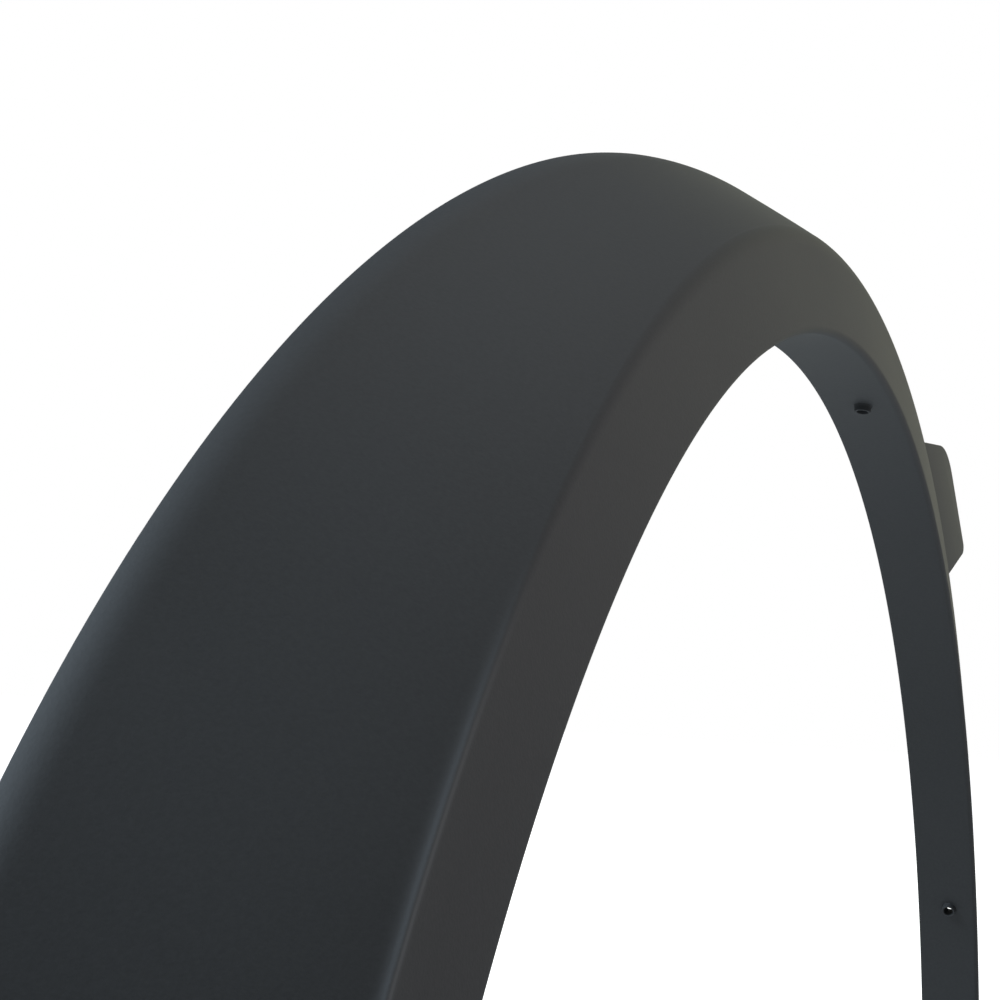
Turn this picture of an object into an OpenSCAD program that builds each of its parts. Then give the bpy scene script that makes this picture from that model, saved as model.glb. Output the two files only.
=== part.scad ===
// Wheel arch trim: one moulded shell that borders a car's wheel opening.
// The wheel opening's axis is Y. The front of the trim looks along -Y, away from the car,
// and +Z is up. Angles round the opening run from +X over the top to -X.
// The cross-section is the same all the way round. The car's side cuts it off behind,
// and because that side slopes, the band is deep on one leg and fades out on the other.

/* [Wheel opening] */
// Radius of the wheel opening at the front fold
opening_r = 368; // [330:1:400]
// Height of the flat leg ends below the opening's axis
leg_drop = 65; // [20:1:110]

/* [Cross-section] */
// Wall thickness of the moulding
wall = 2.8; // [2:0.1:3.4]
// Width of the front lip, measured along the radius
lip_w = 26.6; // [18:0.2:34]
// How far the lip slopes back between the fold and the crease
lip_set = 5.1; // [3:0.1:10]
// Depth of the flange that turns into the wheel opening
flange_depth = 24.2; // [20:0.2:34]
// How far the flange spreads away from the axis over its depth
flange_flare = 0.6; // [0:0.1:2]
// Outside radius of the fold between lip and flange
fold_r = 1.8; // [1:0.1:6]
// Outside radius of the crease between lip and band
crease_r = 10; // [2:0.5:14]

/* [Band] */
// Depth of the whole band behind the crease, before the car's side cuts it
band_depth = 74.5; // [68:0.5:90]
// How far the whole band spreads outwards over that depth
band_rise = 41.5; // [34:0.5:50]
// Angle at which the band leaves the crease, from the wheel's plane
band_front_angle = 56.2; // [46:0.1:60]
// Angle at which the whole band ends, from the wheel's plane
band_back_angle = 60.9; // [54:0.1:70]
// Length of the curve's pull at the crease
band_front_pull = 20.5; // [12:0.5:26]
// Length of the curve's pull at the back
band_back_pull = 45.6; // [30:0.1:50]

/* [Car side] */
// Depth of the car's side behind the fold, on the opening's axis
side_depth = 21.5; // [16:0.1:26]
// Angle by which the car's side comes forward towards +X
side_toe = 5.7; // [4:0.05:7]
// Angle by which the car's side goes back towards the top
side_lean = 2.1; // [0:0.1:4]

/* [Screw holes] */
// Diameter of the screw holes in the flange
screw_d = 3.8; // [3:0.1:4.4]
// Number of screw holes
screw_count = 4; // [2:1:4]
// Angle of the first screw hole
screw_first = 25; // [20:0.1:30]
// Angle between one screw hole and the next
screw_pitch = 48.8; // [40:0.1:49]
// Distance of the screw holes behind the fold
screw_depth = 11.6; // [10:0.1:13]
// Outside diameter of the raised collar round each screw hole
collar_d = 5.2; // [4.8:0.1:8]
// Height of that collar, on the side of the wheel
collar_h = 2.1; // [1:0.1:3]
// How much wider the collar is at its foot
collar_foot = 0.8; // [0:0.1:3]

/* [Clip seats] */
// Number of clip seats behind the band
seat_count = 5; // [3:1:5]
// Angle of the first clip seat
seat_first = 83; // [80:0.5:90]
// Angle between one clip seat and the next
seat_pitch = 22.6; // [20:0.1:23]
// Length of a clip seat round the opening
seat_l = 22; // [18:0.5:28]
// Width of a clip seat along the radius
seat_w = 17; // [14:0.5:20]
// Distance of the seats' middle outside the fold
seat_out = 32; // [28:0.5:38]
// Wall thickness of a clip seat
seat_wall = 2; // [1.4:0.1:2.6]
// Diameter of the clip hole in each seat
clip_d = 8; // [6:0.5:9]

/* [Ribs] */
// Thickness of a rib, one of which stands before each clip seat
rib_t = 1.8; // [1.2:0.1:2.4]
// Distance that the ribs stay inside the flange's free edge
rib_inset = 6; // [4:0.5:9]
// Distance that the ribs stay in front of the car's side
rib_gap = 4; // [2:0.5:8]

/* [Locating tab] */
// Depth of the tab's front face behind the fold
tab_depth = 8; // [7:0.1:9]
// Thickness of the tab
tab_t = 2.6; // [2:0.1:4]
// Height of the tab's lower outer corner above the opening's axis
tab_low = 304.5; // [290:0.5:308]
// Angle by which the tab's lower edge rises outwards
tab_slope = 11.4; // [0:0.1:16]
// Height of the tab's upper edge above the opening's axis
tab_high = 345.6; // [340:0.1:352]
// Distance of the tab's outer edge from the opening's axis
tab_reach = 435.8; // [432:0.1:440]
// Direction in which the tab's outer edge faces
tab_angle = 54; // [50:0.1:56]
// Radius of the tab's upper corner
tab_top_r = 55; // [10:1:60]
// Radius of the tab's lower corner
tab_low_r = 4.5; // [2:0.5:6]

/* [Hidden] */
$fn = 180;
PLASTIC = [0.21, 0.22, 0.23];
ARC_STEPS = 5;
BAND_STEPS = 10;
TIGHTEST_R = 0.6;
BIG = 1200;

// Section points are [radius, depth behind the fold].
free_edge = [opening_r + flange_flare, flange_depth];
fold = [opening_r, 0];
crease = [opening_r + lip_w, lip_set];
band_end = crease + [band_rise, band_depth];
flange_heading = atan2(-flange_depth, -flange_flare);
lip_heading = atan2(lip_set, lip_w);
end_angle = asin((leg_drop + 1) / opening_r) + 1;

function dir(a) = [cos(a), sin(a)];

// Points of an arc that rounds a corner between the directions a and b
function corner(p, a, b, r) =
    let (turn = b - a, cut = r * tan(turn / 2), start = p - cut * dir(a),
         centre = start + r * dir(a + 90))
    [for (i = [0:ARC_STEPS]) centre + r * dir(a - 90 + turn * i / ARC_STEPS)];

// The band's front line is a curve from the crease to the band's back. It begins where the
// rounding of the crease ends.
pull_1 = crease + band_front_pull * dir(band_front_angle);
pull_2 = band_end - band_back_pull * dir(band_back_angle);
crease_cut = crease_r * tan((band_front_angle - lip_heading) / 2);
band_from = crease_cut / (3 * band_front_pull);
function band_share(i) = band_from + (1 - band_from) * i / BAND_STEPS;
function band_point(t) = pow(1 - t, 3) * crease + 3 * t * pow(1 - t, 2) * pull_1
    + 3 * t * t * (1 - t) * pull_2 + pow(t, 3) * band_end;
function band_way(t) = pow(1 - t, 2) * (pull_1 - crease) + 2 * t * (1 - t) * (pull_2 - pull_1)
    + t * t * (band_end - pull_2);
function band_heading(t) = atan2(band_way(t).y, band_way(t).x);

// A line of the section that lies a distance d inside the wall. It runs from the free edge of
// the flange over fold and crease to the back of the band, with the hollow side on its left.
function inside(p, a, b, d) = p + d / cos((b - a) / 2) * dir((a + b) / 2 + 90);
function line_at(d) = concat(
    [free_edge + d * dir(flange_heading + 90)],
    corner(inside(fold, flange_heading, lip_heading, d), flange_heading, lip_heading,
           max(fold_r - d, TIGHTEST_R)),
    corner(inside(crease, lip_heading, band_front_angle, d), lip_heading, band_front_angle,
           max(crease_r - d, TIGHTEST_R)),
    [for (i = [1:BAND_STEPS]) band_point(band_share(i))
        + d * dir(band_heading(band_share(i)) + 90)]);
front_line = line_at(0);
middle_line = line_at(wall / 2);
back_line = line_at(wall);

function flipped(line) = [for (i = [len(line) - 1:-1:0]) line[i]];

// A section profile turned round the opening's axis between two angles
module turned(line, from, to) {
    rotate([90, 0, 0]) rotate([0, 0, from]) rotate_extrude(angle = to - from)
        polygon([for (p = line) [p.x, -p.y]]);
}

// Places its children at an angle, with X along the radius and Y along the opening's axis
module at_angle(a) {
    rotate([0, -a, 0]) children();
}

// Depth of the car's side at a place in the wheel's plane
function side_at(x, z) = side_depth - x * tan(side_toe) / cos(side_lean) + z * tan(side_lean);

// Places its children on the car's side, with Y straight into the car
module on_side(x = 0, z = 0) {
    translate([x, side_at(x, z), z]) rotate([-side_lean, 0, 0]) rotate([0, 0, -side_toe])
        children();
}

// Everything behind the car's side, or behind a plane that lies a distance in front of it
module behind_side(gap = 0) {
    on_side() translate([-BIG / 2, -gap, -BIG / 2]) cube([BIG, BIG, BIG]);
}

module below_legs() {
    translate([-BIG / 2, -BIG / 2, -leg_drop - BIG]) cube([BIG, BIG, BIG]);
}

// The shell itself. The lip and flange are whole, and the car's side cuts the band.
module shell() {
    first = len(front_line) - BAND_STEPS - 1;
    front_band = [for (i = [first:len(front_line) - 1]) front_line[i]];
    back_band = [for (i = [first:len(back_line) - 1]) back_line[i]];
    front_lip = [for (i = [0:first]) front_line[i]];
    back_lip = [for (i = [0:first]) back_line[i]];
    turned(concat(front_lip, flipped(back_lip)), -end_angle, 180 + end_angle);
    difference() {
        turned(concat(front_band, flipped(back_band)), -end_angle, 180 + end_angle);
        behind_side();
    }
}

// The whole space between the middle of the wall and the car's side, from which the
// clip seats are cut
module space(from, to) {
    difference() {
        turned(concat([[opening_r + wall / 2, band_end.y]], middle_line), from, to);
        behind_side();
    }
}

// A hollow seat for a push-in clip, open towards the axis, with its top on the car's side
module clip_seat(a) {
    middle_r = opening_r + seat_out;
    half_angle = atan(seat_l / opening_r);
    difference() {
        intersection() {
            space(a - half_angle, a + half_angle);
            at_angle(a) translate([middle_r - seat_w / 2, 0, -seat_l / 2])
                cube([seat_w, band_end.y, seat_l]);
        }
        difference() {
            at_angle(a) translate([middle_r - seat_w / 2 - seat_wall, crease.y + wall,
                                   seat_wall - seat_l / 2])
                cube([seat_w, band_end.y, seat_l - 2 * seat_wall]);
            behind_side(seat_wall);
        }
        on_side(middle_r * cos(a), middle_r * sin(a)) rotate([90, 0, 0])
            cylinder(d = clip_d, h = 3 * seat_wall, center = true);
    }
}

// A gusset between flange and band
module rib(a) {
    start = middle_line[0] + rib_inset * dir(flange_heading);
    line = concat([start], [for (i = [1:len(middle_line) - 1]) middle_line[i]]);
    difference() {
        intersection() {
            turned(line, a - rib_t, a + rib_t);
            at_angle(a) translate([0, 0, -rib_t / 2]) cube([BIG, BIG, rib_t]);
        }
        behind_side(rib_gap);
    }
}

// A screw hole stands square to the flange. Its own frame has Z along the hole, outwards.
module at_screw(a) {
    outward = screw_depth / flange_depth * flange_flare;
    at_angle(a) translate([opening_r + outward, screw_depth, 0])
        rotate([0, 0, flange_heading + 90]) rotate([0, 90, 0]) children();
}

module screw_collar(a) {
    at_screw(a) translate([0, 0, -collar_h])
        cylinder(d1 = collar_d, d2 = collar_d + collar_foot, h = collar_h + wall / 2);
}

module screw_hole(a) {
    at_screw(a) translate([0, 0, -2 * collar_h]) cylinder(d = screw_d, h = 2 * wall + 2 * collar_h);
}

// The point at which a line from p along the direction d first meets a circle of radius r
function on_circle(p, d, r) = let (b = p * d) p - (b + sqrt(b * b - p * p + r * r)) * d;

// A flat tongue in the plane of the wheel, which slides behind the neighbouring panel
module locating_tab() {
    root_r = crease.x - wall;
    edge_heading = tab_angle - 90;
    low_heading = tab_slope - 180;
    top = [(tab_reach - tab_high * sin(tab_angle)) / cos(tab_angle), tab_high];
    low = [(tab_reach - tab_low * sin(tab_angle)) / cos(tab_angle), tab_low];
    translate([0, tab_depth + tab_t, 0]) rotate([90, 0, 0]) linear_extrude(tab_t)
        polygon(concat([root_r * dir(asin(tab_high / root_r))],
                       corner(top, 0, edge_heading, -tab_top_r),
                       corner(low, edge_heading, low_heading, -tab_low_r),
                       [on_circle(low, dir(low_heading), root_r)]));
}

module arch_trim() {
    color(PLASTIC) difference() {
        union() {
            shell();
            for (i = [0:seat_count - 1]) clip_seat(seat_first + i * seat_pitch);
            for (i = [0:seat_count - 1]) rib(seat_first + (i - 0.5) * seat_pitch);
            for (i = [0:screw_count - 1]) screw_collar(screw_first + i * screw_pitch);
            locating_tab();
        }
        for (i = [0:screw_count - 1]) screw_hole(screw_first + i * screw_pitch);
        below_legs();
    }
}

arch_trim();
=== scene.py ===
"""Looks of a wheel arch trim in matte charcoal plastic, in the CAD frame.

The wheel opening's axis is Y, the front looks along -Y and +Z is up. Angles round the opening run
from +X over the top to -X. Sizes are in millimetres where a name says so and in metres elsewhere.
"""

from __future__ import annotations

import logging
import math
from dataclasses import dataclass, field
from enum import Enum

import bmesh
import bpy
import numpy as np
from mathutils import Matrix, Vector

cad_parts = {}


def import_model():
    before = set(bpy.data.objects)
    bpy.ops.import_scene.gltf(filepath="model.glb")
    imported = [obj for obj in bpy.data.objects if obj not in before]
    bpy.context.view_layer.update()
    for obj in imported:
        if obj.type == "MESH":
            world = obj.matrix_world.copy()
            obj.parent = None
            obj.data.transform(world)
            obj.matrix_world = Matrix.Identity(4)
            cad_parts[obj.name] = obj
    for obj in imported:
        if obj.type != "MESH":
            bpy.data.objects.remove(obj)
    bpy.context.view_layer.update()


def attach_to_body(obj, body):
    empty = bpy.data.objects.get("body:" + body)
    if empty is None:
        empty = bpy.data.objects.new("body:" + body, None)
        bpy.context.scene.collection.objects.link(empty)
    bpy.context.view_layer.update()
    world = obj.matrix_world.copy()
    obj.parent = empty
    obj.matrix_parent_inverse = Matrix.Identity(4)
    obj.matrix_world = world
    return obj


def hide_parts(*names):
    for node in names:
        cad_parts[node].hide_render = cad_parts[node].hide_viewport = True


log = logging.getLogger("arch_trim")
MM = 0.001
NODE = "arch_trim"
BODY = "root"
# Where the section has points on the flange and the lip, as shares of their lengths.
FLANGE_STOPS = (0.0, 0.04, 0.3, 0.65, 0.96)
LIP_STOPS = (0.08, 0.3, 0.5, 0.66)
SMOOTH_TO_DEG = 50.0
DOUBLES_M = 1e-7
WHITE = (1.0, 1.0, 1.0, 1.0)


class Side(Enum):
    """The two faces of the moulded wall."""

    FRONT = 0
    BACK = 1


def heading(degrees: float) -> np.ndarray:
    """Returns the unit vector [radius, depth] in that direction."""
    angle = math.radians(degrees)
    return np.array([math.cos(angle), math.sin(angle)])


# ---------------------------------------------------------------- node trees


class Num:
    """A number inside a node tree. Sums written with it become Math nodes."""

    def __init__(self, tree: Nodes, socket: bpy.types.NodeSocket) -> None:
        """Keeps the tree and the socket that gives the number."""
        self.tree = tree
        self.socket = socket

    def __add__(self, other: Num | float) -> Num:
        """Returns the sum."""
        return self.tree.math("ADD", self, other)

    def __radd__(self, other: float) -> Num:
        """Returns the sum."""
        return self.tree.math("ADD", other, self)

    def __sub__(self, other: Num | float) -> Num:
        """Returns the difference."""
        return self.tree.math("SUBTRACT", self, other)

    def __rsub__(self, other: float) -> Num:
        """Returns the difference."""
        return self.tree.math("SUBTRACT", other, self)

    def __mul__(self, other: Num | float) -> Num:
        """Returns the product."""
        return self.tree.math("MULTIPLY", self, other)

    def __rmul__(self, other: float) -> Num:
        """Returns the product."""
        return self.tree.math("MULTIPLY", other, self)

    def __truediv__(self, other: Num | float) -> Num:
        """Returns the quotient."""
        return self.tree.math("DIVIDE", self, other)


class Nodes:
    """A node tree of any kind, built node by node."""

    def __init__(self, group: bpy.types.NodeTree) -> None:
        """Keeps the tree that the nodes go into."""
        self.group = group

    def plug(self, value: object, socket: bpy.types.NodeSocket) -> None:
        """Joins a number or socket to a socket, or writes a constant on it."""
        if isinstance(value, Num):
            value = value.socket
        if isinstance(value, bpy.types.NodeSocket):
            self.group.links.new(value, socket)
        else:
            socket.default_value = value

    def node(self, kind: str, inputs: dict[str | int, object] | None = None,
             **settings: object) -> bpy.types.Node:
        """Adds a node.

        Args:
            kind: Its type.
            inputs: What goes into its sockets, by name or place.
            settings: Its own settings.

        Returns:
            The node.
        """
        made = self.group.nodes.new(kind)
        for key, value in settings.items():
            setattr(made, key, value)
        for key, value in (inputs or {}).items():
            self.plug(value, made.inputs[key])
        return made

    def math(self, operation: str, *values: Num | float, clamp: bool = False) -> Num:
        """Returns the result of a Math node."""
        made = self.node("ShaderNodeMath", dict(enumerate(values)), operation=operation,
                         use_clamp=clamp)
        return Num(self, made.outputs[0])

    def smooth(self, value: Num, start: Num | float, end: Num | float, low: Num | float,
               high: Num | float) -> Num:
        """Returns a number that goes smoothly from low to high between two values."""
        made = self.node("ShaderNodeMapRange",
                         {"Value": value, "From Min": start, "From Max": end, "To Min": low,
                          "To Max": high}, interpolation_type="SMOOTHSTEP")
        return Num(self, made.outputs[0])

    def parts(self, vector: bpy.types.NodeSocket) -> tuple[Num, Num, Num]:
        """Returns a vector's three numbers."""
        made = self.node("ShaderNodeSeparateXYZ", {0: vector})
        return tuple(Num(self, made.outputs[i]) for i in range(3))


class Tree(Nodes):
    """A Geometry Nodes tree with named inputs."""

    def __init__(self, name: str) -> None:
        """Starts a tree with one geometry going in and one coming out."""
        super().__init__(bpy.data.node_groups.new(name, "GeometryNodeTree"))
        face = self.group.interface
        face.new_socket("Geometry", in_out="INPUT", socket_type="NodeSocketGeometry")
        face.new_socket("Geometry", in_out="OUTPUT", socket_type="NodeSocketGeometry")
        self.entry = self.group.nodes.new("NodeGroupInput")
        self.exit = self.group.nodes.new("NodeGroupOutput")
        self.values: dict[str, float | int] = {}

    @property
    def geometry(self) -> bpy.types.NodeSocket:
        """Returns the geometry that the tree is given."""
        return self.entry.outputs[0]

    def size(self, name: str, value: float | int) -> Num:
        """Adds a named input.

        Args:
            name: The input's name.
            value: Its value, whole for a count.

        Returns:
            The input as a number.
        """
        kind = "NodeSocketInt" if isinstance(value, int) else "NodeSocketFloat"
        self.group.interface.new_socket(name, in_out="INPUT", socket_type=kind)
        self.values[name] = value
        return Num(self, self.entry.outputs[name])

    def angle(self, name: str, degrees: float) -> Num:
        """Adds a named input that holds an angle, in radians."""
        return self.size(name, math.radians(degrees))

    def vector(self, x: Num | float, y: Num | float, z: Num | float) -> bpy.types.NodeSocket:
        """Returns a vector made of three numbers."""
        return self.node("ShaderNodeCombineXYZ", {0: x, 1: y, 2: z}).outputs[0]

    def rotation(self, x: Num | float, y: Num | float, z: Num | float) -> bpy.types.NodeSocket:
        """Returns a rotation made of three angles."""
        return self.node("FunctionNodeEulerToRotation", {0: self.vector(x, y, z)}).outputs[0]

    def choose(self, test: Num, yes: Num, no: Num) -> Num:
        """Returns yes where the test is 1 and no where it is 0."""
        return no + test * (yes - no)

    def finish(self, shape: bpy.types.NodeSocket, material: bpy.types.Material) -> None:
        """Ends the tree in Realize Instances and Set Material."""
        real = self.node("GeometryNodeRealizeInstances", {0: shape})
        done = self.node("GeometryNodeSetMaterial",
                         {"Geometry": real.outputs[0], "Material": material})
        self.plug(done.outputs[0], self.exit.inputs[0])

    def make(self, name: str, start: bpy.types.Mesh) -> bpy.types.Object:
        """Runs the tree and keeps the result as a plain mesh.

        Args:
            name: The new object's name.
            start: The mesh that goes in.

        Returns:
            The object, with no modifier left.
        """
        piece = bpy.data.objects.new(name, start)
        bpy.context.scene.collection.objects.link(piece)
        modifier = piece.modifiers.new("shape", "NODES")
        modifier.node_group = self.group
        for item in self.group.interface.items_tree:
            if item.item_type == "SOCKET" and item.in_out == "INPUT" and item.name in self.values:
                modifier[item.identifier] = self.values[item.name]
        return settle(piece)


def settle(piece: bpy.types.Object) -> bpy.types.Object:
    """Turns an object's evaluated shape into its own plain mesh and drops its modifiers."""
    graph = bpy.context.evaluated_depsgraph_get()
    graph.update()
    shape = bpy.data.meshes.new_from_object(piece.evaluated_get(graph))
    piece.modifiers.clear()
    piece.data = shape
    piece.data.name = piece.name
    return piece


def outwards(mesh: bpy.types.Mesh) -> None:
    """Merges doubles and turns a closed mesh's faces outwards."""
    shape = bmesh.new()
    shape.from_mesh(mesh)
    bmesh.ops.remove_doubles(shape, verts=shape.verts, dist=DOUBLES_M)
    bmesh.ops.recalc_face_normals(shape, faces=shape.faces)
    shape.to_mesh(mesh)
    shape.free()


def prism(name: str, low: list[tuple[float, float, float]],
          high: list[tuple[float, float, float]]) -> bpy.types.Mesh:
    """Returns the closed body between two equal outlines, in metres."""
    count = len(low)
    faces = [tuple(range(count)), tuple(range(2 * count - 1, count - 1, -1))]
    faces += [(i, (i + 1) % count, count + (i + 1) % count, count + i) for i in range(count)]
    mesh = bpy.data.meshes.new(name)
    mesh.from_pydata([*low, *high], [], faces)
    outwards(mesh)
    return mesh


def shade(piece: bpy.types.Object) -> bpy.types.Object:
    """Shades a piece smoothly, but for its sharp edges."""
    piece.data.shade_smooth()
    piece.data.set_sharp_from_angle(angle=math.radians(SMOOTH_TO_DEG))
    return piece


def soften(piece: bpy.types.Object, width_mm: float, segments: int = 2,
           degrees: float = 40.0) -> bpy.types.Object:
    """Rounds a piece's sharp edges and shades the rest smoothly.

    The narrowest faces beside those edges limit the width for the whole piece.
    """
    bevel = piece.modifiers.new("edges", "BEVEL")
    bevel.width = width_mm * MM
    bevel.segments = segments
    bevel.limit_method = "ANGLE"
    bevel.angle_limit = math.radians(degrees)
    return shade(settle(piece))


# ---------------------------------------------------------------- finishes


def start_material(name: str) -> tuple[bpy.types.Material, Nodes, bpy.types.NodeInputs]:
    """Returns a new node material, its nodes and its shader's sockets."""
    material = bpy.data.materials.new(name)
    material.use_nodes = True
    tree = material.node_tree
    return material, Nodes(tree), tree.nodes["Principled BSDF"].inputs


@dataclass(frozen=True)
class CharcoalPlastic:
    """Matte moulded plastic with a very fine grain and a faint change of tone over its length.

    Low on the near leg a paler line along the crease is a painted highlight.
    """

    name: str = "charcoal_plastic"
    dark: tuple[float, float, float] = (0.030, 0.030, 0.030)
    light: tuple[float, float, float] = (0.040, 0.040, 0.040)
    roughness: float = 0.62
    specular: float = 0.30
    roughness_spread: float = 0.06
    tone_per_m: float = 9.0
    tone_detail: float = 4.0
    tone_range: tuple[float, float] = (0.30, 0.70)
    speckle_per_m: float = 900.0
    speckle_detail: float = 2.0
    speckle_share: float = 0.4
    grain_per_m: float = 1500.0
    grain_height_mm: float = 0.035
    grain_strength: float = 0.5
    # Painted highlight: a paler colour along the near leg's crease that stands in for light caught
    # there.
    painted_highlight: tuple[float, float, float] = (0.090, 0.092, 0.094)
    painted_highlight_r_mm: float = 395.5
    painted_highlight_w_mm: float = 0.95
    painted_highlight_from_x: float = -0.232
    painted_highlight_to_x: float = -0.300

    def build(self) -> bpy.types.Material:
        """Returns the node material."""
        material, t, shader = start_material(self.name)
        place = t.node("ShaderNodeTexCoord").outputs["Object"]
        tone, speckle = (
            t.node("ShaderNodeTexNoise", {"Scale": scale, "Detail": detail,
                                          "Vector": place}).outputs["Fac"]
            for scale, detail in ((self.tone_per_m, self.tone_detail),
                                  (self.speckle_per_m, self.speckle_detail)))
        both = t.node("ShaderNodeMix", {"Factor": self.speckle_share, "A": tone, "B": speckle},
                      data_type="FLOAT")
        ramp = t.node("ShaderNodeValToRGB", {"Fac": both.outputs["Result"]})
        for stop, position, colour in zip(ramp.color_ramp.elements, self.tone_range,
                                          (self.dark, self.light)):
            stop.position = position
            stop.color = (*colour, 1.0)
        # Mixes the painted highlight into the colour along the near leg's crease.
        with_painted_highlight = t.node("ShaderNodeMix", {"Factor": self.painted_highlight_line(t, place),
                                        "A": ramp.outputs["Color"], "B": (*self.painted_highlight, 1.0)},
                      data_type="RGBA")
        rough = t.node("ShaderNodeMapRange", {"Value": tone,
                                              "To Min": self.roughness - self.roughness_spread,
                                              "To Max": self.roughness + self.roughness_spread})
        grain = t.node("ShaderNodeTexVoronoi", {"Scale": self.grain_per_m, "Vector": place})
        bump = t.node("ShaderNodeBump", {"Strength": self.grain_strength,
                                         "Distance": self.grain_height_mm * MM,
                                         "Height": grain.outputs["Distance"]})
        t.plug(with_painted_highlight.outputs["Result"], shader["Base Color"])
        t.plug(rough.outputs["Result"], shader["Roughness"])
        t.plug(bump.outputs["Normal"], shader["Normal"])
        t.plug(self.specular, shader["Specular IOR Level"])
        return material

    def painted_highlight_line(self, t: Nodes, place: bpy.types.NodeSocket) -> Num:
        """Returns the share of painted highlight: 1 on the near leg's crease, 0 elsewhere."""
        x, _, z = t.parts(place)
        radius = t.math("SQRT", x * x + z * z)
        off = (radius - self.painted_highlight_r_mm * MM) / (self.painted_highlight_w_mm * MM)
        on_line = t.math("POWER", math.e, off * off * -1.0)
        return on_line * t.smooth(x, self.painted_highlight_from_x, self.painted_highlight_to_x, 0.0, 1.0)


@dataclass(frozen=True)
class PaleFloor:
    """A white floor that keeps the trim's shadow and fades to pure white away from it."""

    name: str = "pale_floor"
    colour: tuple[float, float, float] = (0.78, 0.78, 0.78)
    lift: float = 0.77
    far_lift: float = 1.0
    roughness: float = 0.9
    specular: float = 0.1
    fade_from: float = 0.4
    fade_to: float = 1.3

    def build(self) -> bpy.types.Material:
        """Returns the node material."""
        material, t, shader = start_material(self.name)
        rays = t.node("ShaderNodeLightPath").outputs["Is Camera Ray"]
        place = t.node("ShaderNodeTexCoord").outputs["Object"]
        distance = t.node("ShaderNodeVectorMath", {0: place}, operation="LENGTH")
        lift = t.node("ShaderNodeMapRange", {"Value": distance.outputs["Value"],
                                             "From Min": self.fade_from, "From Max": self.fade_to,
                                             "To Min": self.lift, "To Max": self.far_lift})
        for name, value in (("Base Color", (*self.colour, 1.0)),
                            ("Roughness", self.roughness),
                            ("Specular IOR Level", self.specular), ("Emission Color", WHITE),
                            ("Emission Strength", t.math("MULTIPLY", rays, lift.outputs[0]))):
            t.plug(value, shader[name])
        return material


# ---------------------------------------------------------------- the trim's rules


@dataclass
class CarSide:
    """The plane of the car's side, which cuts the band off behind."""

    depth_mm: float = 21.5
    toe: float = 5.7
    lean: float = 2.1
    box: tuple[float, float, float] = (3.0, 1.0, 3.0)

    @property
    def per_x(self) -> float:
        """Returns how much the plane's depth falls for each step along +X."""
        return math.tan(math.radians(self.toe)) / math.cos(math.radians(self.lean))

    @property
    def per_z(self) -> float:
        """Returns how much the plane's depth grows for each step up."""
        return math.tan(math.radians(self.lean))

    def sizes(self, t: Tree) -> tuple[Num, Num, Num]:
        """Adds the plane's depth, toe and lean to a tree as named inputs."""
        return (t.size("Side depth", self.depth_mm), t.angle("Toe", self.toe),
                t.angle("Lean", self.lean))

    def behind(self, t: Tree, gap: Num, sizes: tuple[Num, Num, Num]) -> bpy.types.NodeSocket:
        """Adds a box of all that lies behind the plane, or behind one a gap in front of it.

        Args:
            t: The tree to add it to.
            gap: The gap in millimetres.
            sizes: What sizes() gave for this tree.

        Returns:
            The box.
        """
        depth, toe, lean = sizes
        front = self.box[1] / 2 - gap * MM
        box = t.node("GeometryNodeMeshCube", {"Size": self.box})
        moved = t.node("GeometryNodeTransform", {"Geometry": box.outputs[0],
                                                 "Translation": t.vector(0.0, front, 0.0)})
        toed = t.node("GeometryNodeTransform", {"Geometry": moved.outputs[0],
                                                "Rotation": t.rotation(0.0, 0.0, -1.0 * toe)})
        leant = t.node("GeometryNodeTransform", {"Geometry": toed.outputs[0],
                                                 "Translation": t.vector(0.0, depth * MM, 0.0),
                                                 "Rotation": t.rotation(-1.0 * lean, 0.0, 0.0)})
        return leant.outputs[0]


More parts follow.
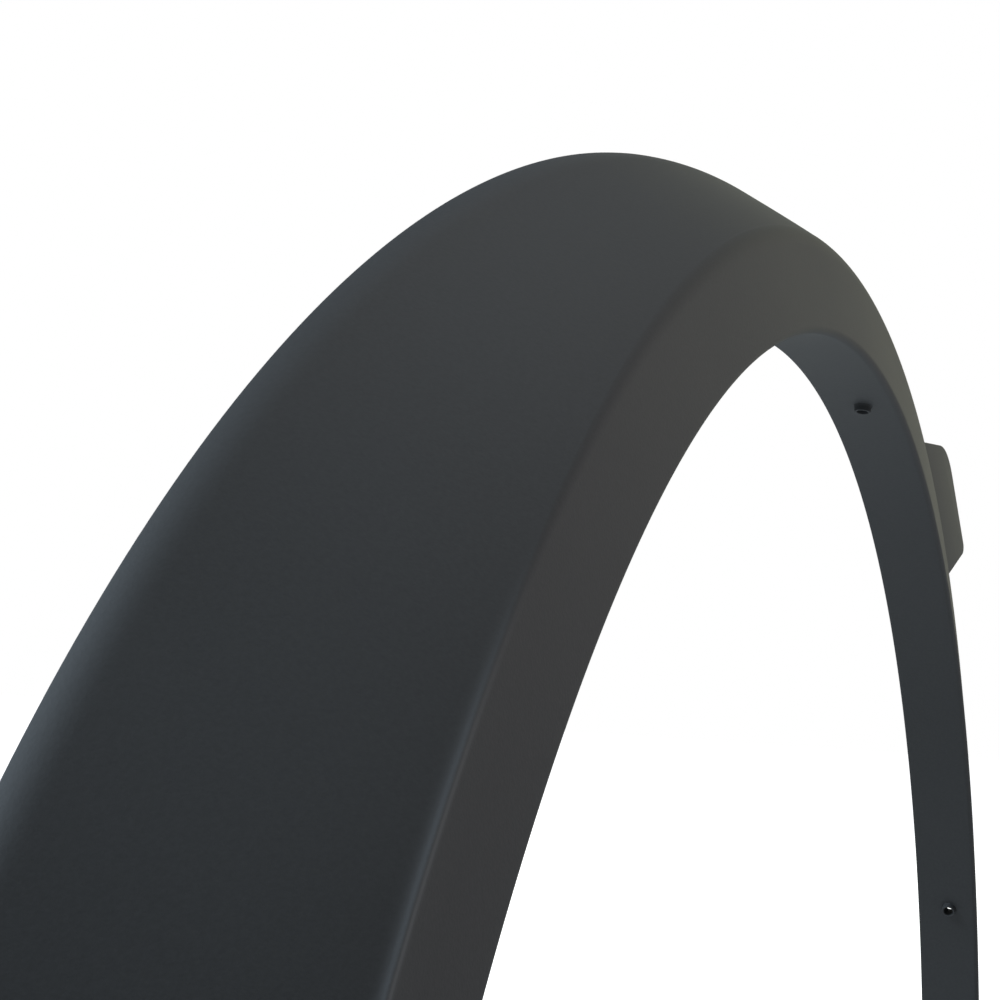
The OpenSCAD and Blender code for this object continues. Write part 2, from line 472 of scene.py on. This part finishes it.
@dataclass
class Section:
    """The moulding's cross-section, in [radius, depth] millimetres from the opening's axis."""

    opening_r: float = 368.0
    leg_drop: float = 65.0
    wall: float = 2.8
    lip_w: float = 26.6
    lip_set: float = 5.1
    flange_depth: float = 24.2
    flange_flare: float = 0.6
    fold_r: float = 1.8
    tightest_r: float = 0.6
    band_depth: float = 74.5
    band_rise: float = 41.5
    band_front_angle: float = 56.2
    band_back_angle: float = 60.9
    band_front_pull: float = 20.5
    band_back_pull: float = 45.6
    arc_steps: int = 12

    def __post_init__(self) -> None:
        """Works out the corners and directions."""
        self.free_edge = np.array([self.opening_r + self.flange_flare, self.flange_depth])
        self.fold = np.array([self.opening_r, 0.0])
        self.crease = self.fold + np.array([self.lip_w, self.lip_set])
        self.band_end = self.crease + np.array([self.band_rise, self.band_depth])
        run = self.fold - self.free_edge
        self.flange_angle = math.degrees(math.atan2(run[1], run[0]))
        self.lip_angle = math.degrees(math.atan2(self.lip_set, self.lip_w))

    def left(self, angle: float) -> np.ndarray:
        """Returns the unit vector into the hollow, square to a line in that direction."""
        return heading(angle + 90.0)

    def inside(self, corner: np.ndarray, before: float, after: float, shift: float) -> np.ndarray:
        """Returns a corner of the line that lies that far inside the wall."""
        middle = (before + after) / 2
        return corner + shift / math.cos(math.radians((after - before) / 2)) * self.left(middle)

    def arc_pull(self, before: float, after: float, share: float) -> np.ndarray:
        """Returns where a point of a rounded corner lies, for a radius of 1.

        Args:
            before: Direction of the line that comes in.
            after: Direction of the line that goes out.
            share: Place along the arc, from 0 to 1.

        Returns:
            The place relative to the sharp corner.
        """
        turn = after - before
        return (-math.tan(math.radians(turn / 2)) * heading(before) + self.left(before)
                + heading(before - 90.0 + turn * share))

    def lines(self, side: Side) -> tuple[np.ndarray, np.ndarray]:
        """Lists the section's points from the free edge to the end of the crease.

        Args:
            side: The front or the back face of the wall.

        Returns:
            The points with a sharp crease, and their shift for a crease radius of 1.
        """
        shift = self.wall if side is Side.BACK else 0.0
        edge = self.free_edge + shift * self.left(self.flange_angle)
        fold = self.inside(self.fold, self.flange_angle, self.lip_angle, shift)
        crease = self.inside(self.crease, self.lip_angle, self.band_front_angle, shift)
        radius = max(self.fold_r - shift, self.tightest_r)
        arc = [fold + radius * self.arc_pull(self.flange_angle, self.lip_angle, i / self.arc_steps)
               for i in range(self.arc_steps + 1)]
        points = [edge + (arc[0] - edge) * t for t in FLANGE_STOPS] + arc
        points += [arc[-1] + (crease - arc[-1]) * t for t in LIP_STOPS]
        pulls = [np.zeros(2)] * len(points)
        for i in range(self.arc_steps + 1):
            points.append(crease)
            pulls.append(self.arc_pull(self.lip_angle, self.band_front_angle, i / self.arc_steps))
        return np.array(points), np.array(pulls)

    def band(self, steps: int = 160) -> np.ndarray:
        """Returns the front line of the whole band, from the sharp crease to its back."""
        start = self.crease
        pull_1 = start + self.band_front_pull * heading(self.band_front_angle)
        pull_2 = self.band_end - self.band_back_pull * heading(self.band_back_angle)
        t = np.linspace(0.0, 1.0, steps)[:, None]
        return ((1 - t) ** 3 * start + 3 * t * (1 - t) ** 2 * pull_1
                + 3 * t ** 2 * (1 - t) * pull_2 + t ** 3 * self.band_end)


# ---------------------------------------------------------------- sub-assemblies


@dataclass
class ArchShell:
    """The moulded shell: flange, fold, lip, crease and the band that the car's side cuts."""

    section: Section
    side: CarSide
    rows: int = 300
    band_columns: int = 52
    spread: tuple[float, float, float] = (0.15, 2.55, 1.7)
    least_band: float = 0.3
    first_cut: float = 30.0
    cut_rounds: int = 7
    cut_slope: float = 0.85
    sharpest_back: float = 0.4
    crease_near_r: float = 2.0
    crease_far_r: float = 9.0
    crease_soft_from: float = 95.0
    crease_sharp_from: float = 140.0
    roll: float = 2.2
    roll_w: float = 7.5
    bulge: float = 1.35
    full_w: float = 40.0
    push: float = 0.9
    push_from: float = 98.0
    push_full: float = 122.0
    ridge: float = 0.25
    ridge_w: float = 0.85
    ridge_from: float = 126.0
    ridge_full: float = 137.0
    edge_r: float = 0.45

    def start_mesh(self) -> tuple[bpy.types.Mesh, int]:
        """Makes the mesh that the tree samples.

        Returns:
            The mesh, whose loose vertices are the section's points and whose edges are the band's
            line, and how many points each face of the wall has.
        """
        front, front_pull = self.section.lines(Side.FRONT)
        back, back_pull = self.section.lines(Side.BACK)
        band = self.section.band()
        flat = np.concatenate([front, back, band])
        pull = np.concatenate([front_pull, back_pull, np.zeros_like(band)])
        first = len(front) + len(back)
        mesh = bpy.data.meshes.new("section_lines")
        mesh.from_pydata([(p[0], p[1], 0.0) for p in flat],
                         [(first + i, first + i + 1) for i in range(len(band) - 1)], [])
        layer = mesh.attributes.new("crease_pull", "FLOAT_VECTOR", "POINT")
        vectors = np.c_[pull, np.zeros(len(pull))]
        layer.data.foreach_set("vector", vectors.astype(np.float32).ravel())
        return mesh, len(front)

    def build(self, material: bpy.types.Material) -> bpy.types.Object:
        """Returns the shell as a closed mesh, cut by the car's side."""
        mesh, lip_columns = self.start_mesh()
        s = self.section
        columns = lip_columns + self.band_columns
        t = Tree("arch_shell")
        wall = t.size("Wall", s.wall)
        drop = t.size("Leg drop", s.leg_drop)
        depth = t.size("Side depth", self.side.depth_mm)
        per_x = t.size("Side fall along X", self.side.per_x)
        per_z = t.size("Side rise along Z", self.side.per_z)
        near_r = t.size("Crease radius at the near leg", self.crease_near_r)
        far_r = t.size("Crease radius at the crown", self.crease_far_r)
        soft_from = t.angle("Angle where the crease is soft", self.crease_soft_from)
        sharp_from = t.angle("Angle where the crease is sharp", self.crease_sharp_from)
        roll = t.size("Roll at the car's side", self.roll)
        roll_w = t.size("Width of the roll", self.roll_w)
        crown = t.size("Bulge before the roll", self.bulge)
        crown_w = t.size("Width of a full band", self.full_w)
        push = t.size("Outward push of the near leg's crease", self.push)
        push_from = t.angle("Angle where the push starts", self.push_from)
        push_full = t.angle("Angle where the push is whole", self.push_full)
        ridge = t.size("Height of the ridge on the crease", self.ridge)
        ridge_w = t.size("Width of the ridge", self.ridge_w)
        ridge_from = t.angle("Angle where the ridge starts", self.ridge_from)
        ridge_full = t.angle("Angle where the ridge is whole", self.ridge_full)
        half_turn = math.tan(math.radians((s.band_front_angle - s.lip_angle) / 2))
        n_lip = t.size("Lip columns", lip_columns)
        n_all = t.size("Columns", columns)
        rows = t.size("Rows", self.rows)

        box = t.node("GeometryNodeMeshCube", {"Vertices X": n_all, "Vertices Y": 2,
                                              "Vertices Z": rows})
        x, y, z = t.parts(t.node("GeometryNodeInputPosition").outputs[0])
        column = t.math("ROUND", (x + 0.5) * (n_all - 1.0))
        back = t.math("GREATER_THAN", y, 0.0)
        along = z + 0.5

        def angle_at(radius: Num) -> Num:
            """Returns the angle of this row's point at a radius, with flat leg ends."""
            end = t.math("ARCSINE", drop / radius)
            return along * (math.pi + 2.0 * end) - end

        mean = angle_at(t.size("Opening radius", s.opening_r))
        radius = t.smooth(mean, soft_from, sharp_from, far_r, near_r)
        radius = t.choose(back, t.math("MAXIMUM", radius - wall, self.sharpest_back), radius)

        pull = t.node("GeometryNodeInputNamedAttribute", {"Name": "crease_pull"},
                      data_type="FLOAT_VECTOR").outputs[0]
        index = t.math("MINIMUM", column, n_lip - 1.0) + back * n_lip
        corner, pulled = (
            t.parts(t.node("GeometryNodeSampleIndex",
                           {"Geometry": t.geometry, "Value": value, "Index": index},
                           data_type="FLOAT_VECTOR", domain="POINT").outputs[0])
            for value in (t.node("GeometryNodeInputPosition").outputs[0], pull))
        lip_r = corner[0] + radius * pulled[0]
        lip_y = corner[1] + radius * pulled[1]

        line = t.node("GeometryNodeMeshToCurve", {"Mesh": t.geometry}).outputs[0]

        def band_point(length: Num, share: Num, whole: Num) -> tuple[Num, Num]:
            """Returns the radius and depth at a length along the band's line.

            Args:
                length: The length along the line.
                share: How far the point lies along the rolled edge, from 0 to 1.
                whole: How far it lies along a full band, from 0 to 1.

            Returns:
                The radius and the depth, in millimetres.
            """
            sample = t.node("GeometryNodeSampleCurve", {"Curves": line, "Length": length},
                            mode="LENGTH", use_all_curves=True, data_type="FLOAT")
            place = t.parts(sample.outputs["Position"])
            way = t.parts(sample.outputs["Tangent"])
            inwards = back * wall + share * share * roll - whole * whole * crown
            return place[0] - way[1] * inwards, place[1] + way[0] * inwards

        start = (radius + back * wall) * half_turn

        def full(end: Num) -> Num:
            """Returns 1 where the band is as wide as the near leg's and 0 where it has none."""
            return t.math("DIVIDE", end - start, crown_w, clamp=True)

        # The length at which the band meets the car's side is found by stepping towards it.
        cut = start + self.first_cut
        for _ in range(self.cut_rounds):
            cut_r, cut_y = band_point(cut, cut * 0.0 + 1.0, full(cut))
            turn = angle_at(cut_r)
            side_y = (depth - cut_r * t.math("COSINE", turn) * per_x
                      + cut_r * t.math("SINE", turn) * per_z)
            cut = t.math("MAXIMUM", cut + (side_y - cut_y) / self.cut_slope,
                         start + self.least_band)
        share = t.math("MAXIMUM", (column - n_lip + 1.0) / (n_all - n_lip), 0.0)
        # The columns stand closer at the crease and at the car's side than between them.
        first, second, third = self.spread
        share = share * (first + share * (second - third * share))
        length = start + (cut - start) * share
        rolled = t.math("MAXIMUM", (length - cut + roll_w) / roll_w, 0.0)
        far_off = t.math("MULTIPLY", rolled, t.math("DIVIDE", cut - start, roll_w, clamp=True))
        band_r, band_y = band_point(length, far_off, full(cut) * share)

        on_band = t.math("GREATER_THAN", column, n_lip - 0.5)
        rise = t.smooth(mean, ridge_from, ridge_full, 0.0, ridge)
        shift = t.smooth(mean, push_from, push_full, 0.0, push)
        on_arc = t.math("DIVIDE", column - n_lip + (s.arc_steps + 1.0), float(s.arc_steps),
                        clamp=True)
        arc_l = radius * math.radians(s.band_front_angle - s.lip_angle)
        beyond = t.math("MAXIMUM", (on_arc - 0.5) * arc_l, 0.0) + on_band * (length - start)
        reach = beyond / ridge_w
        raised = (t.math("POWER", math.e, -1.0 * reach * reach)
                  * t.math("MULTIPLY", on_arc, 2.0, clamp=True)
                  * rise * (1.0 - back))
        out = heading(s.band_front_angle - 90.0)
        lip_share = t.math("DIVIDE", lip_r - s.opening_r, s.lip_w, clamp=True)
        pushed = t.choose(on_band, 1.0 - share, lip_share) * shift
        lip_way = heading(s.lip_angle)
        all_r = (t.choose(on_band, band_r, lip_r) + raised * float(out[0])
                 + pushed * float(lip_way[0]))
        all_y = (t.choose(on_band, band_y, lip_y) + raised * float(out[1])
                 + pushed * float(lip_way[1]))
        turn = angle_at(all_r)
        place = t.vector(all_r * t.math("COSINE", turn) * MM, all_y * MM,
                         all_r * t.math("SINE", turn) * MM)
        shaped = t.node("GeometryNodeSetPosition", {"Geometry": box.outputs[0],
                                                    "Position": place})
        t.finish(shaped.outputs[0], material)
        shell = t.make("arch_shell", mesh)
        outwards(shell.data)
        # The narrow columns on the far leg hold this rounding down to about 0.001 mm.
        return soften(shell, self.edge_r)

    def pierce(self, shell: bpy.types.Object, cutters: bpy.types.Object) -> bpy.types.Object:
        """Cuts the screw holes and removes the cutters."""
        holes = shell.modifiers.new("holes", "BOOLEAN")
        holes.object = cutters
        holes.solver = "EXACT"
        settle(shell)
        bpy.data.objects.remove(cutters)
        return shell


@dataclass
class LocatingTab:
    """The flat tongue that slides behind the neighbouring panel."""

    section: Section
    depth: float = 8.0
    thickness: float = 2.6
    low: float = 304.5
    slope: float = 11.4
    high: float = 345.6
    reach: float = 435.8
    angle: float = 54.0
    top_r: float = 55.0
    low_r: float = 2.5
    corner_steps: int = 10
    edge_r: float = 0.5

    def rounded(self, corner: np.ndarray, before: float, after: float,
                radius: float) -> list[np.ndarray]:
        """Returns the points of a corner that turns to the right."""
        cut = radius * math.tan(math.radians((before - after) / 2))
        centre = corner - cut * heading(before) + radius * heading(before - 90.0)
        steps = self.corner_steps
        return [centre + radius * heading(before + 90.0 + (after - before) * i / steps)
                for i in range(steps + 1)]

    def outline(self) -> np.ndarray:
        """Returns the tab's outline as [x, z] points in millimetres."""
        root_r = self.section.crease[0] - self.section.wall
        sine, cosine = math.sin(math.radians(self.angle)), math.cos(math.radians(self.angle))
        top = np.array([(self.reach - self.high * sine) / cosine, self.high])
        low = np.array([(self.reach - self.low * sine) / cosine, self.low])
        down = self.angle - 90.0
        home = self.slope - 180.0
        way = heading(home)
        along = low @ way
        meets = low - (along + math.sqrt(along ** 2 - low @ low + root_r ** 2)) * way
        start = np.array([math.sqrt(root_r ** 2 - self.high ** 2), self.high])
        return np.array([start, *self.rounded(top, 0.0, down, self.top_r),
                         *self.rounded(low, down, home, self.low_r), meets])

    def build(self, material: bpy.types.Material) -> bpy.types.Object:
        """Returns the tab as a rounded plate."""
        low, high = ([(x * MM, depth * MM, z * MM) for x, z in self.outline()]
                     for depth in (self.depth, self.depth + self.thickness))
        mesh = prism("locating_tab", low, high)
        mesh.materials.append(material)
        tab = bpy.data.objects.new("locating_tab", mesh)
        bpy.context.scene.collection.objects.link(tab)
        return soften(tab, self.edge_r, segments=3)


@dataclass
class RoundTheArch:
    """Places that stand at even angles round the opening."""

    count: int
    first: float
    pitch: float

    def sizes(self, t: Tree) -> tuple[Num, Num, Num]:
        """Adds the count, the first angle and the pitch to a tree as named inputs."""
        return (t.size("Count", self.count), t.angle("First angle", self.first),
                t.angle("Pitch", self.pitch))

    def repeat(self, t: Tree, shape: bpy.types.NodeSocket,
               sizes: tuple[Num, Num, Num]) -> bpy.types.NodeSocket:
        """Adds nodes that turn copies of a shape round the opening's axis.

        Args:
            t: The tree to add them to.
            shape: The shape at angle 0.
            sizes: What sizes() gave for this tree.

        Returns:
            The real copies.
        """
        count, first, pitch = sizes
        line = t.node("GeometryNodeMeshLine", {"Count": count, "Offset": (0.0, 0.0, 0.0)})
        index = Num(t, t.node("GeometryNodeInputIndex").outputs[0])
        copies = t.node("GeometryNodeInstanceOnPoints",
                        {"Points": line.outputs[0], "Instance": shape,
                         "Rotation": t.rotation(0.0, -1.0 * (first + index * pitch), 0.0)})
        return t.node("GeometryNodeRealizeInstances", {0: copies.outputs[0]}).outputs[0]


def turned_profile(profile: list[tuple[float, float]], steps: int) -> bpy.types.Mesh:
    """Turns a closed [radius, height] profile round the X axis.

    Args:
        profile: Its points in millimetres.
        steps: How many divisions the turn has.

    Returns:
        The closed ring.
    """
    count = len(profile)
    vertices = [(h * MM, r * MM * math.cos(a), r * MM * math.sin(a))
                for a in np.linspace(0.0, 2 * math.pi, steps, endpoint=False) for r, h in profile]
    faces = [(i * count + j, i * count + (j + 1) % count, (i + 1) % steps * count + (j + 1) % count,
              (i + 1) % steps * count + j) for i in range(steps) for j in range(count)]
    mesh = bpy.data.meshes.new("turned")
    mesh.from_pydata(vertices, [], faces)
    outwards(mesh)
    return mesh


def block(line: np.ndarray, half_width: float) -> bpy.types.Mesh:
    """Returns a plate whose outline is a closed [radius, depth] line, at angle 0."""
    low, high = ([(r * MM, depth * MM, z * MM) for r, depth in line]
                 for z in (-half_width, half_width))
    return prism("block", low, high)


@dataclass
class ScrewHoles:
    """Screw holes in the flange, each in a raised collar on the side of the wheel."""

    section: Section
    places: RoundTheArch = field(default_factory=lambda: RoundTheArch(4, 25.0, 48.8))
    bore_d: float = 3.8
    depth: float = 11.6
    collar_d: float = 5.2
    collar_h: float = 2.1
    collar_foot: float = 0.8
    waist: tuple[tuple[float, float], ...] = ((0.1, -0.9), (0.16, -0.3))
    foot_ends: tuple[float, float] = (0.1, 0.5)
    edge_r: float = 0.25
    sleeve: float = 0.45
    sleeve_from: float = 0.6
    sleeve_gap: float = 0.05
    bar_core: float = 0.001
    bar_ends: tuple[float, float] = (-1.0, 4.5)
    bar_steps: int = 40
    collar_steps: int = 48

    def stand(self, mesh: bpy.types.Mesh) -> bpy.types.Mesh:
        """Stands a turned shape square to the flange, at angle 0."""
        s = self.section
        tilt = Matrix.Rotation(math.radians(s.flange_angle + 90.0), 4, "Z")
        out = s.opening_r + self.depth / s.flange_depth * s.flange_flare
        mesh.transform(Matrix.Translation((out * MM, self.depth * MM, 0.0)) @ tilt)
        return mesh

    def cutters(self, material: bpy.types.Material) -> bpy.types.Object:
        """Returns the bars that cut the holes in the shell."""
        # Each cut ends inside the wall of a collar's sleeve, which lines it.
        r = self.bore_d / 2 + self.sleeve / 3
        core, (low, high) = self.bar_core, self.bar_ends
        line = [(core, low), (r, low), (r, high), (core, high)]
        bar = self.stand(turned_profile(line, self.bar_steps))
        t = Tree("hole_cutters")
        t.finish(self.places.repeat(t, t.geometry, self.places.sizes(t)), material)
        return t.make("hole_cutters", bar)

    def build(self, material: bpy.types.Material) -> bpy.types.Object:
        """Returns the collars, whose bores line the holes."""
        bore, top = self.bore_d / 2, self.collar_d / 2
        foot = top + self.collar_foot / 2
        end = self.section.wall - self.sleeve_gap
        arc = [math.radians(a) for a in (0, 30, 60, 90)]
        e = self.edge_r
        rim = [(bore + e - e * math.cos(a), -self.collar_h + e - e * math.sin(a)) for a in arc]
        rim += [(top - e + e * math.sin(a), -self.collar_h + e - e * math.cos(a)) for a in arc]
        flare = [(top + out, height) for out, height in self.waist]
        flare += [(foot, height) for height in self.foot_ends]
        sleeve = bore + self.sleeve
        lining = [(sleeve, self.sleeve_from), (sleeve, end), (bore, end)]
        ring = self.stand(turned_profile(rim + flare + lining, self.collar_steps))
        t = Tree("screw_collars")
        t.finish(self.places.repeat(t, t.geometry, self.places.sizes(t)), material)
        return shade(t.make("screw_collars", ring))


@dataclass
class BehindTheBand:
    """What stands behind the band: hollow clip seats that end on the car's side, and thin ribs."""

    section: Section
    side: CarSide
    seats: RoundTheArch = field(default_factory=lambda: RoundTheArch(5, 83.0, 22.6))
    ribs: RoundTheArch = field(default_factory=lambda: RoundTheArch(5, 71.7, 22.6))
    seat_l: float = 22.0
    seat_w: float = 17.0
    seat_out: float = 32.0
    seat_wall: float = 2.0
    clip_d: float = 8.0
    rib_t: float = 1.8
    rib_inset: float = 6.0
    rib_gap: float = 4.0
    band_steps: int = 24
    crease_gap: float = 1.0
    edge_r: float = 0.3
    margin: float = 0.5
    hollow_from: float = 7.9
    bar_from: float = 12.0
    bar_steps: int = 40
    past: float = 1.0

    def middle_line(self) -> np.ndarray:
        """Returns the middle of the wall from the flange to the back of the band."""
        s = self.section
        half = s.wall / 2
        start = (s.free_edge + half * s.left(s.flange_angle)
                 + self.rib_inset * heading(s.flange_angle))
        fold = s.inside(s.fold, s.flange_angle, s.lip_angle, half)
        crease = s.inside(s.crease, s.lip_angle, s.band_front_angle, half)
        band = s.band(self.band_steps)
        way = np.gradient(band, axis=0)
        way /= np.linalg.norm(way, axis=1)[:, None]
        inner = band + half * np.c_[-way[:, 1], way[:, 0]]
        return np.vstack([start, fold, crease, inner[inner[:, 0] > crease[0] + self.crease_gap]])

    def less(self, t: Tree, whole: bpy.types.NodeSocket,
             cut: bpy.types.NodeSocket) -> bpy.types.NodeSocket:
        """Returns a shape with another cut from it."""
        return t.node("GeometryNodeMeshBoolean", {0: whole, 1: cut}, operation="DIFFERENCE",
                      solver="EXACT").outputs[0]

    def role(self, t: Tree, number: int) -> bpy.types.NodeSocket:
        """Returns the part of the tree's mesh that has that role."""
        role = t.node("GeometryNodeInputNamedAttribute", {"Name": "role"}, data_type="INT")
        same = t.node("FunctionNodeCompare", {2: role.outputs[0], 3: number}, data_type="INT",
                      operation="EQUAL")
        found = t.node("GeometryNodeSeparateGeometry", {0: t.geometry, 1: same.outputs[0]},
                       domain="FACE")
        return found.outputs[0]

    def with_roles(self, name: str, shapes: list[bpy.types.Mesh]) -> bpy.types.Mesh:
        """Joins meshes and numbers their faces by the mesh that they come from."""
        joined, roles = bmesh.new(), []
        for number, shape in enumerate(shapes):
            joined.from_mesh(shape)
            roles += [number] * len(shape.polygons)
        mesh = bpy.data.meshes.new(name)
        joined.to_mesh(mesh)
        joined.free()
        mesh.attributes.new("role", "INT", "FACE").data.foreach_set("value", roles)
        return mesh

    def build_seats(self, material: bpy.types.Material) -> bpy.types.Object:
        """Returns the clip seats, open towards the axis."""
        middle = self.section.opening_r + self.seat_out
        low, high = middle - self.seat_w / 2, middle + self.seat_w / 2
        line = self.middle_line()
        inside = line[(line[:, 0] > low + self.margin) & (line[:, 0] < high - self.margin)]
        far = self.section.band_end[1]
        end, bar_end = far + self.past, far + 2 * self.past

        def foot(radius: float) -> float:
            """Returns the depth of the wall's middle at a radius."""
            return float(np.interp(radius, line[2:, 0], line[2:, 1]))

        outline = np.vstack([[low, foot(low)], inside, [high, foot(high)], [high, far], [low, far]])
        left, right = low - self.seat_wall, high - self.seat_wall
        hollow = np.array([[left, self.hollow_from], [right, self.hollow_from],
                           [right, end], [left, end]])
        r = self.clip_d / 2
        turns = np.linspace(0, 2 * math.pi, self.bar_steps, endpoint=False)
        bar = prism("bar", *([((middle + r * math.cos(a)) * MM, y * MM, r * math.sin(a) * MM)
                              for a in turns] for y in (self.bar_from, bar_end)))
        start = self.with_roles("seat_parts", [
            block(outline, self.seat_l / 2), block(hollow, self.seat_l / 2 - self.seat_wall), bar])
        t = Tree("clip_seats")
        places, side = self.seats.sizes(t), self.side.sizes(t)
        wall = t.size("Seat wall", self.seat_wall)
        body, cavity, holes = (self.seats.repeat(t, self.role(t, n), places) for n in range(3))
        cavity = self.less(t, cavity, self.side.behind(t, wall, side))
        seats = self.less(t, body, self.side.behind(t, wall * 0.0, side))
        seats = self.less(t, seats, cavity)
        seats = self.less(t, seats, holes)
        t.finish(seats, material)
        return soften(t.make("clip_seats", start), self.edge_r)

    def build_ribs(self, material: bpy.types.Material) -> bpy.types.Object:
        """Returns the ribs between flange and band."""
        t = Tree("ribs")
        gap = t.size("Gap to the car's side", self.rib_gap)
        plates = self.ribs.repeat(t, t.geometry, self.ribs.sizes(t))
        ribs = self.less(t, plates, self.side.behind(t, gap, self.side.sizes(t)))
        t.finish(ribs, material)
        return soften(t.make("ribs", block(self.middle_line(), self.rib_t / 2)), self.edge_r)


# ---------------------------------------------------------------- studio


@dataclass(frozen=True)
class Lamp:
    """A square lamp that looks at the middle of the trim from a bearing and a height."""

    name: str
    bearing: float
    height: float
    watts: float
    colour: tuple[float, float, float]
    size: float = 1.2
    distance: float = 2.2
    target: tuple[float, float, float] = (-0.15, 0.0, 0.25)

    def build(self) -> None:
        """Hangs the lamp in the scene."""
        turn, rise = math.radians(self.bearing), math.radians(self.height)
        way = Vector((math.cos(rise) * math.cos(turn), math.cos(rise) * math.sin(turn),
                      math.sin(rise)))
        data = bpy.data.lights.new(self.name, "AREA")
        data.size = self.size
        data.energy = self.watts
        data.color = self.colour
        lamp = bpy.data.objects.new(self.name, data)
        lamp.location = Vector(self.target) + self.distance * way
        lamp.rotation_euler = (-way).to_track_quat("-Z", "Y").to_euler()
        bpy.context.scene.collection.objects.link(lamp)


def window_lamps() -> list[Lamp]:
    """Returns a window behind the near leg and dimmer lamps above, in front and at the far leg."""
    return [Lamp("roof_lamp", 0.0, 90.0, 3.5, (0.78, 0.90, 1.0)),
            Lamp("window_lamp", 120.0, 46.0, 56.0, (0.71, 0.86, 1.0)),
            Lamp("front_lamp", 315.0, 12.0, 5.2, (0.99, 0.95, 1.0)),
            Lamp("front_high_lamp", 303.0, 33.0, 7.3, (1.0, 0.98, 0.98)),
            Lamp("far_lamp", 0.0, 12.0, 5.0, (0.97, 1.0, 0.70)),
            Lamp("far_high_lamp", 338.0, 62.0, 5.4, (0.97, 0.97, 0.92))]


@dataclass
class Studio:
    """The camera at the photograph's viewing angle, the lamps, the floor and the white around."""

    eye: tuple[float, float, float] = (-0.6347, -0.1232, 0.3216)
    right: tuple[float, float, float] = (0.32901, -0.94384, 0.03025)
    up: tuple[float, float, float] = (-0.00806, 0.02923, 0.99954)
    lens: float = 83.19
    sensor: float = 36.0
    seen_from: float = 0.01
    seen_to: float = 50.0
    floor_z: float = -0.065
    floor_size: float = 6.0
    ambient: float = 0.12
    room: tuple[float, float, float] = (0.95, 0.97, 1.0)
    lamps: list[Lamp] = field(default_factory=window_lamps)

    def camera(self) -> None:
        """Sets the camera."""
        right, up = Vector(self.right), Vector(self.up)
        data = bpy.data.cameras.new("camera")
        data.lens = self.lens
        data.sensor_width = self.sensor
        data.clip_start = self.seen_from
        data.clip_end = self.seen_to
        eye = bpy.data.objects.new("camera", data)
        axes = Matrix((right, up, right.cross(up))).transposed()
        eye.matrix_world = Matrix.Translation(Vector(self.eye)) @ axes.to_4x4()
        bpy.context.scene.collection.objects.link(eye)
        bpy.context.scene.camera = eye

    def light(self) -> None:
        """Sets the lamps and the world."""
        for lamp in self.lamps:
            lamp.build()
        world = bpy.data.worlds.new("white_room")
        bpy.context.scene.world = world
        world.use_nodes = True
        world.node_tree.nodes.clear()
        t = Nodes(world.node_tree)
        rays = t.node("ShaderNodeLightPath").outputs["Is Camera Ray"]
        room = t.node("ShaderNodeBackground", {"Color": (*self.room, 1.0),
                                               "Strength": self.ambient}).outputs[0]
        seen = t.node("ShaderNodeBackground", {"Color": WHITE, "Strength": 1.0}).outputs[0]
        mix = t.node("ShaderNodeMixShader", {0: rays, 1: room, 2: seen})
        t.node("ShaderNodeOutputWorld", {0: mix.outputs[0]})

    def floor(self) -> None:
        """Lays the floor under the leg ends."""
        half = self.floor_size / 2
        mesh = bpy.data.meshes.new("floor")
        mesh.from_pydata([(-half, -half, self.floor_z), (half, -half, self.floor_z),
                          (half, half, self.floor_z), (-half, half, self.floor_z)], [],
                         [(0, 1, 2, 3)])
        mesh.materials.append(PaleFloor().build())
        floor = bpy.data.objects.new("floor", mesh)
        bpy.context.scene.collection.objects.link(floor)

    def build(self) -> None:
        """Sets up the whole studio."""
        bpy.context.scene.view_settings.view_transform = "Standard"
        self.camera()
        self.light()
        self.floor()


def attach(piece: bpy.types.Object) -> None:
    """Lets a piece ride on the CAD body and stand for its node."""
    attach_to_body(piece, BODY)
    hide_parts(NODE)
    log.info("%s: %d faces", piece.name, len(piece.data.polygons))


def main() -> None:
    """Builds the trim and its studio."""
    logging.basicConfig(level=logging.INFO, format="%(message)s")
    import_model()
    Studio().build()
    plastic = CharcoalPlastic().build()
    section, side = Section(), CarSide()
    holes = ScrewHoles(section)
    arch = ArchShell(section, side)
    rear = BehindTheBand(section, side)
    attach(arch.pierce(arch.build(plastic), holes.cutters(plastic)))
    attach(holes.build(plastic))
    attach(LocatingTab(section).build(plastic))
    attach(rear.build_seats(plastic))
    attach(rear.build_ribs(plastic))


if __name__ == "__main__":
    main()
